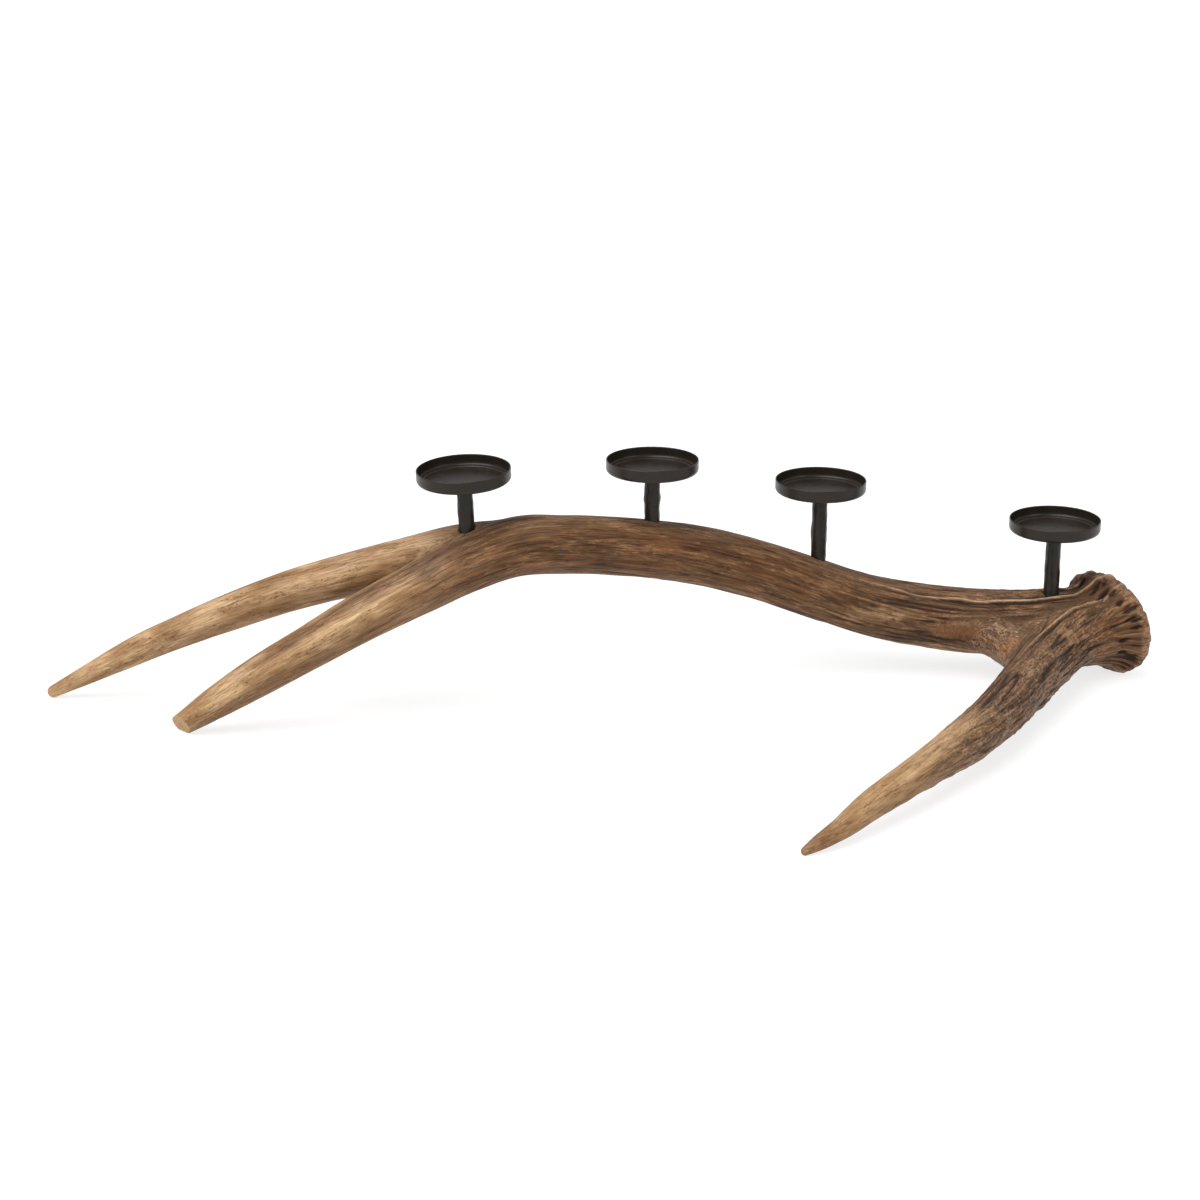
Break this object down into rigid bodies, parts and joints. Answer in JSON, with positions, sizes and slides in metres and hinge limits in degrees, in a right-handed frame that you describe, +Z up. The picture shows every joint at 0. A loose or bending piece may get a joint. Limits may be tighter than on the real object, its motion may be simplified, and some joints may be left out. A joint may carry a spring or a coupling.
{
  "type": "antler candle holder",
  "caption": "Table-top candle holder: a cast antler lying on its tine tips and burr, with round black steel candle pans on short posts along the beam.",
  "frame": {"origin": "the middle of the bounding box, on the table surface that the antler lies on", "axes": "+X from the two top tines towards the burr, +Y away from the brow tine side (the viewer in the picture), +Z up"},
  "size_m": [0.9038, 0.4056, 0.2041],
  "materials": {
    "antler_resin": "cast resin, stained brown in the grooves and rubbed lighter on the ridges and tips, satin",
    "black_steel": "pressed sheet and hammered tube with a satin black lacquer",
    "zinc_steel": "zinc plated"
  },
  "bodies": {
    "antler": {"antler": "antler_resin", "threaded_rod_1": "zinc_steel", "threaded_rod_2": "zinc_steel", "threaded_rod_3": "zinc_steel", "threaded_rod_4": "zinc_steel"},
    "post_1": {"post_1": "black_steel"},
    "cup_1": {"pan_1": "black_steel", "pan_nut_1": "zinc_steel"},
    "post_2": {"post_2": "black_steel"},
    "cup_2": {"pan_2": "black_steel", "pan_nut_2": "zinc_steel"},
    "post_3": {"post_3": "black_steel"},
    "cup_3": {"pan_3": "black_steel", "pan_nut_3": "zinc_steel"},
    "post_4": {"post_4": "black_steel"},
    "cup_4": {"pan_4": "black_steel", "pan_nut_4": "zinc_steel"}
  },
  "joints": [
    {"name": "cup_1_lift", "type": "slide", "parent": "antler", "child": "post_1", "axis": [-0.0349, -0.0349, 0.9988], "range_m": [0, 0.0471]},
    {"name": "pan_1_turn", "type": "hinge", "parent": "post_1", "child": "cup_1", "pos_m": [-0.10599, 0.07369, 0.14923], "axis": [-0.0349, -0.0349, 0.9988], "continuous": true},
    {"name": "cup_2_lift", "type": "slide", "parent": "antler", "child": "post_2", "axis": [0, 0, 1], "range_m": [0, 0.0488]},
    {"name": "pan_2_turn", "type": "hinge", "parent": "post_2", "child": "cup_2", "pos_m": [0.04007, 0.12355, 0.14053], "axis": [0, 0, 1], "continuous": true},
    {"name": "cup_3_lift", "type": "slide", "parent": "antler", "child": "post_3", "axis": [0.0035, 0, 1], "range_m": [0, 0.0657]},
    {"name": "pan_3_turn", "type": "hinge", "parent": "post_3", "child": "cup_3", "pos_m": [0.17806, 0.15955, 0.09632], "axis": [0.0035, 0, 1], "continuous": true},
    {"name": "cup_4_lift", "type": "slide", "parent": "antler", "child": "post_4", "axis": [-0.007, 0, 1], "range_m": [0, 0.0637]},
    {"name": "pan_4_turn", "type": "hinge", "parent": "post_4", "child": "cup_4", "pos_m": [0.3714, 0.15705, 0.06552], "axis": [-0.007, 0, 1], "continuous": true}
  ]
}
